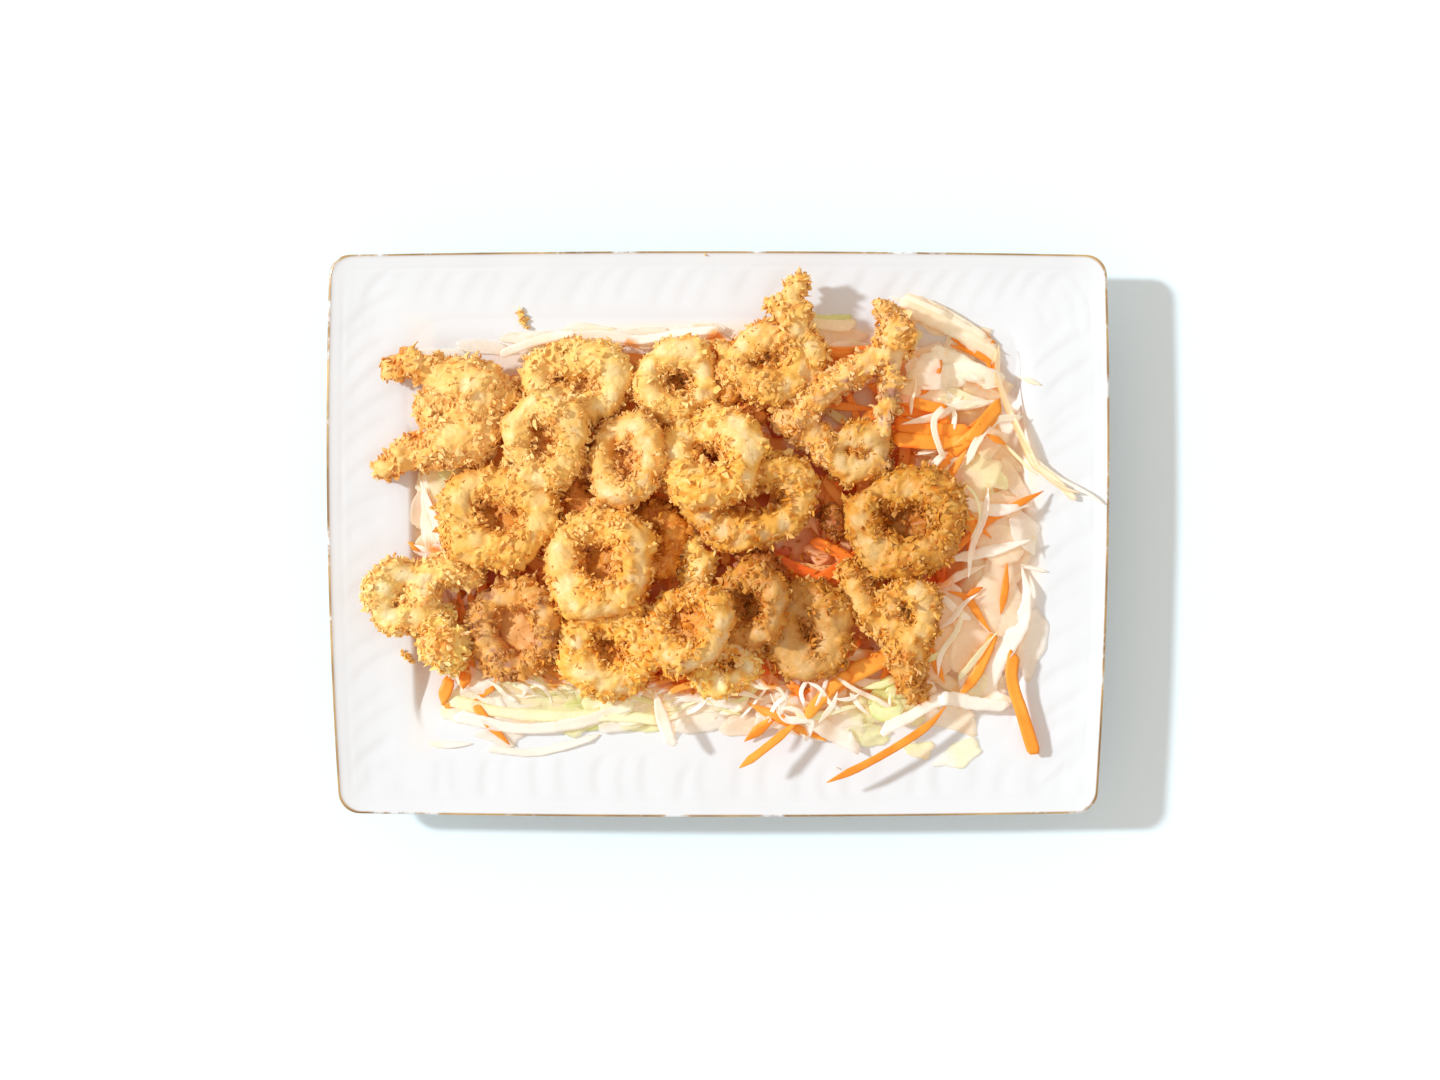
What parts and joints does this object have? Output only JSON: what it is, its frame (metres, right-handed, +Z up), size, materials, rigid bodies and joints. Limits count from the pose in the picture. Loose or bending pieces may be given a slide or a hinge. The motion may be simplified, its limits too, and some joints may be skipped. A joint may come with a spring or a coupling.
{
  "type": "fried calamari platter",
  "caption": "Crumbed fried squid rings and tentacles heaped on shredded cabbage and carrot, served on a rectangular white porcelain platter with a gilded lip.",
  "frame": {"origin": "on the table under the middle of the platter's bounding box", "axes": "+Z up, +X along the platter's long side towards the uncovered end of the salad, +Y along its short side towards the long side that is slightly longer"},
  "size_m": [0.3306, 0.239, 0.0565],
  "materials": {
    "porcelain": "gloss",
    "salad": "satin",
    "fried_crust": "matte"
  },
  "bodies": {
    "root": {"plate": "porcelain", "salad_bed": "salad", "ring_01": "fried_crust", "ring_02": "fried_crust", "ring_03": "fried_crust", "ring_04": "fried_crust", "ring_05": "fried_crust", "ring_07": "fried_crust", "ring_08": "fried_crust", "ring_09": "fried_crust", "ring_10": "fried_crust", "ring_11": "fried_crust", "ring_12": "fried_crust", "ring_14": "fried_crust", "ring_15": "fried_crust", "ring_16": "fried_crust", "ring_17": "fried_crust", "ring_18": "fried_crust", "ring_19": "fried_crust", "ring_21": "fried_crust", "cluster_top": "fried_crust", "cluster_lower_left": "fried_crust", "cluster_right": "fried_crust", "cluster_left": "fried_crust", "cluster_upper_right": "fried_crust", "nugget": "fried_crust", "strip_1": "fried_crust", "strip_2": "fried_crust", "strip_3": "fried_crust", "strip_4": "fried_crust"}
  },
  "joints": []
}
